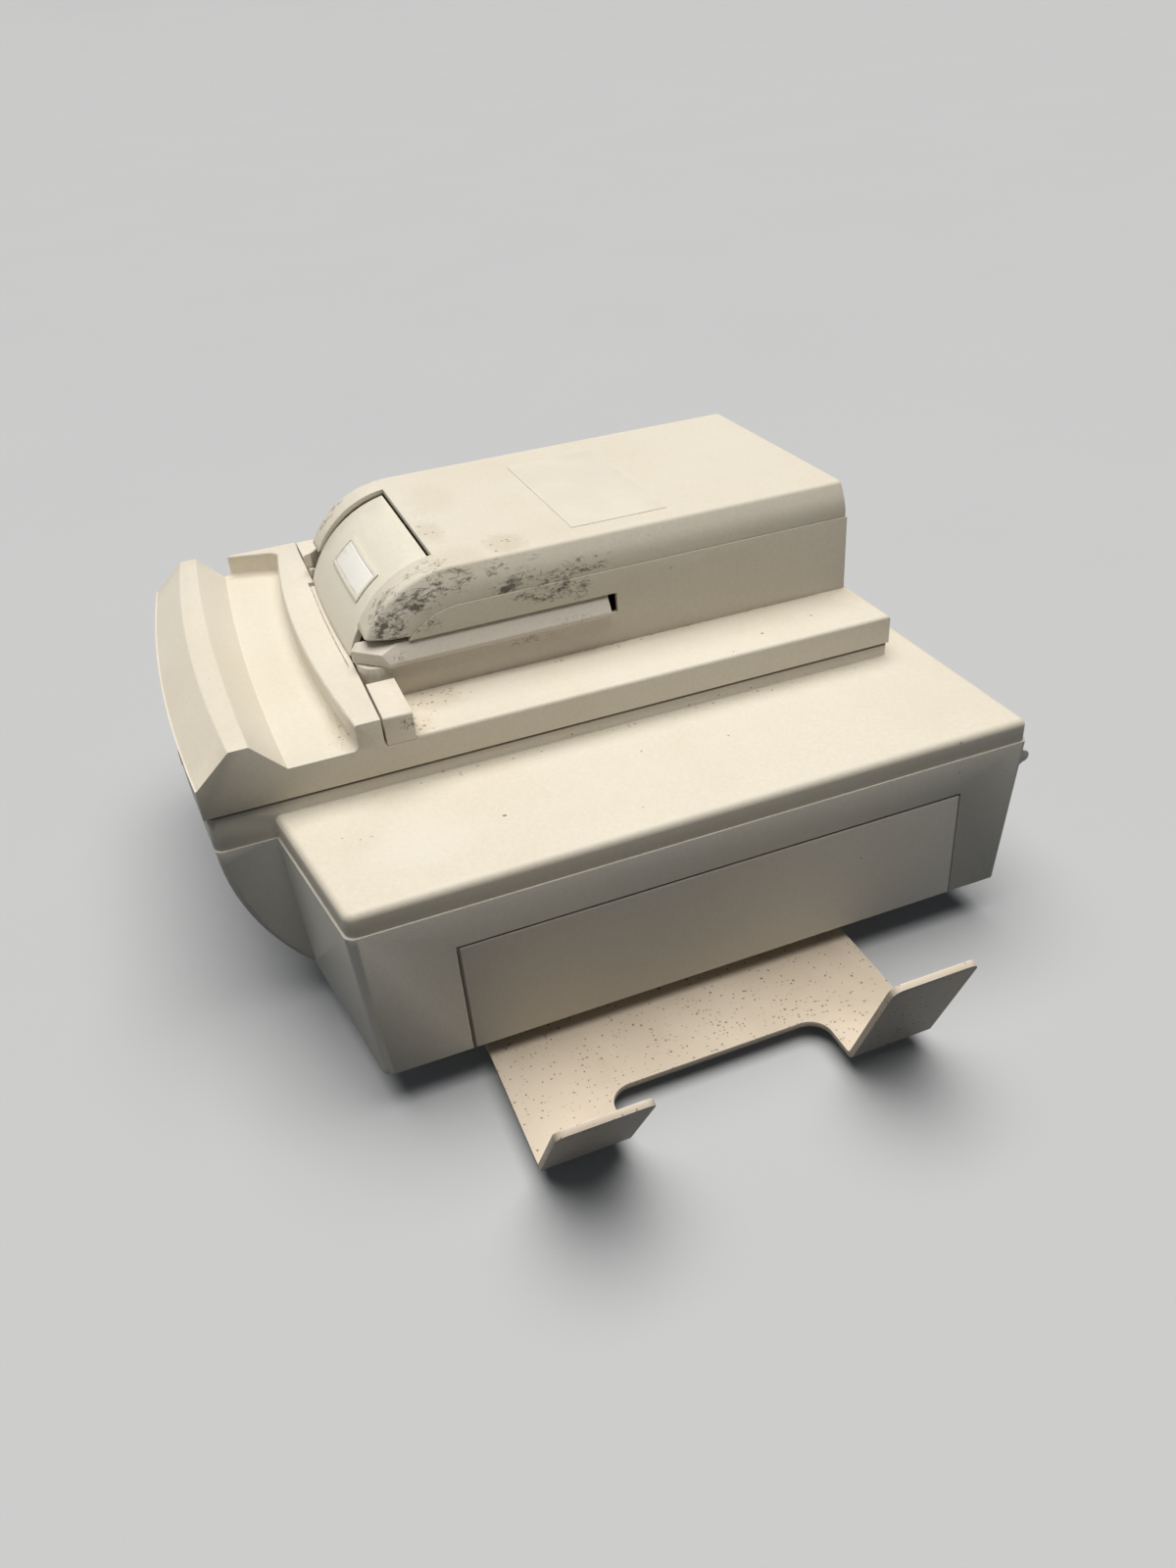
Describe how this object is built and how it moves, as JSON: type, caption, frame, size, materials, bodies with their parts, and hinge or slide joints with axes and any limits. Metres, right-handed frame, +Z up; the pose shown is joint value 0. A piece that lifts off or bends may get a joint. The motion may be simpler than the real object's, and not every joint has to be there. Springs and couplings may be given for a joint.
{
  "type": "monitor docking station",
  "caption": "Moulded tabletop docking station with a crowned saddle, sprung release flap and side rails, a side wing with a hinged cable door and a bent-sheet cable hanger.",
  "frame": {"origin": "centre of the base's square bolt pattern, on the flat underside of the moulded tub", "axes": "+X towards the side wing and the cable hanger, +Y from the front ridge to the rear, +Z up"},
  "size_m": [0.3651, 0.329, 0.1651],
  "materials": {
    "cream_moulding": "fine spark grain, lightly yellowed",
    "flap_moulding": "smooth satin",
    "rail_moulding": "satin, slightly waxy",
    "block_moulding": "satin",
    "plate_white": "smooth film",
    "label_film": "thin film label, blank",
    "hanger_coat": "beige powder coat with worn edges",
    "lens_dark": "polished dark window",
    "foot_rubber": "matte",
    "bright_steel": "plain zinc-plated",
    "insert_brass": "turned",
    "supply_case": "folded sheet",
    "board_laminate": "solder-masked laminate",
    "socket_black": "moulded",
    "port_shell": "nickel-plated shell"
  },
  "bodies": {
    "base": {"lower_tub": "cream_moulding", "upper_cover": "cream_moulding", "dock_platform": "cream_moulding", "hump_wall": "cream_moulding", "hump_cover": "cream_moulding", "rear_cable_hook": "cream_moulding", "spring_anchor": "rail_moulding", "left_guide_block": "block_moulding", "right_guide_block": "block_moulding", "top_label": "label_film", "cable_hanger": "hanger_coat", "status_lens": "lens_dark", "rubber_feet": "foot_rubber", "flap_pivot_rod": "bright_steel", "door_hinge_pin": "bright_steel", "return_springs": "bright_steel", "case_screws": "bright_steel", "deck_screws": "bright_steel", "saddle_screws": "bright_steel", "block_screws": "bright_steel", "hanger_screws": "bright_steel", "chassis_screws": "bright_steel", "board_screws": "bright_steel", "chassis_plate": "bright_steel", "connector_panel": "bright_steel", "mounting_inserts": "insert_brass", "board_standoffs": "insert_brass", "power_supply": "supply_case", "main_board": "board_laminate", "power_inlet": "socket_black", "network_jack": "socket_black", "docking_connector": "socket_black", "serial_port": "port_shell", "video_port": "port_shell"},
    "flap": {"release_flap": "flap_moulding", "nameplate_frame": "flap_moulding", "nameplate_inlay": "plate_white"},
    "latch": {"latch_carriage": "rail_moulding", "left_rail": "rail_moulding", "right_rail": "rail_moulding"},
    "door": {"side_door": "cream_moulding"}
  },
  "joints": [
    {"name": "flap_press", "type": "hinge", "parent": "base", "child": "flap", "pos_m": [0, -0.079, 0.113], "axis": [-1, 0, 0], "range_deg": [0, 8]},
    {"name": "latch_slide", "type": "slide", "parent": "base", "child": "latch", "axis": [0, 1, 0], "range_m": [0, 0.0035], "stiffness_N_per_m": 600, "springref_m": -0.003, "deforming": ["return_springs"]},
    {"name": "door_swing", "type": "hinge", "parent": "base", "child": "door", "pos_m": [0.1746, 0.0213, 0.05755], "axis": [0, -1, 0], "range_deg": [0, 88]}
  ],
  "couplings": [
    {"joint": "flap_press", "follows": "latch_slide", "rad_per_m": 39.888}
  ]
}
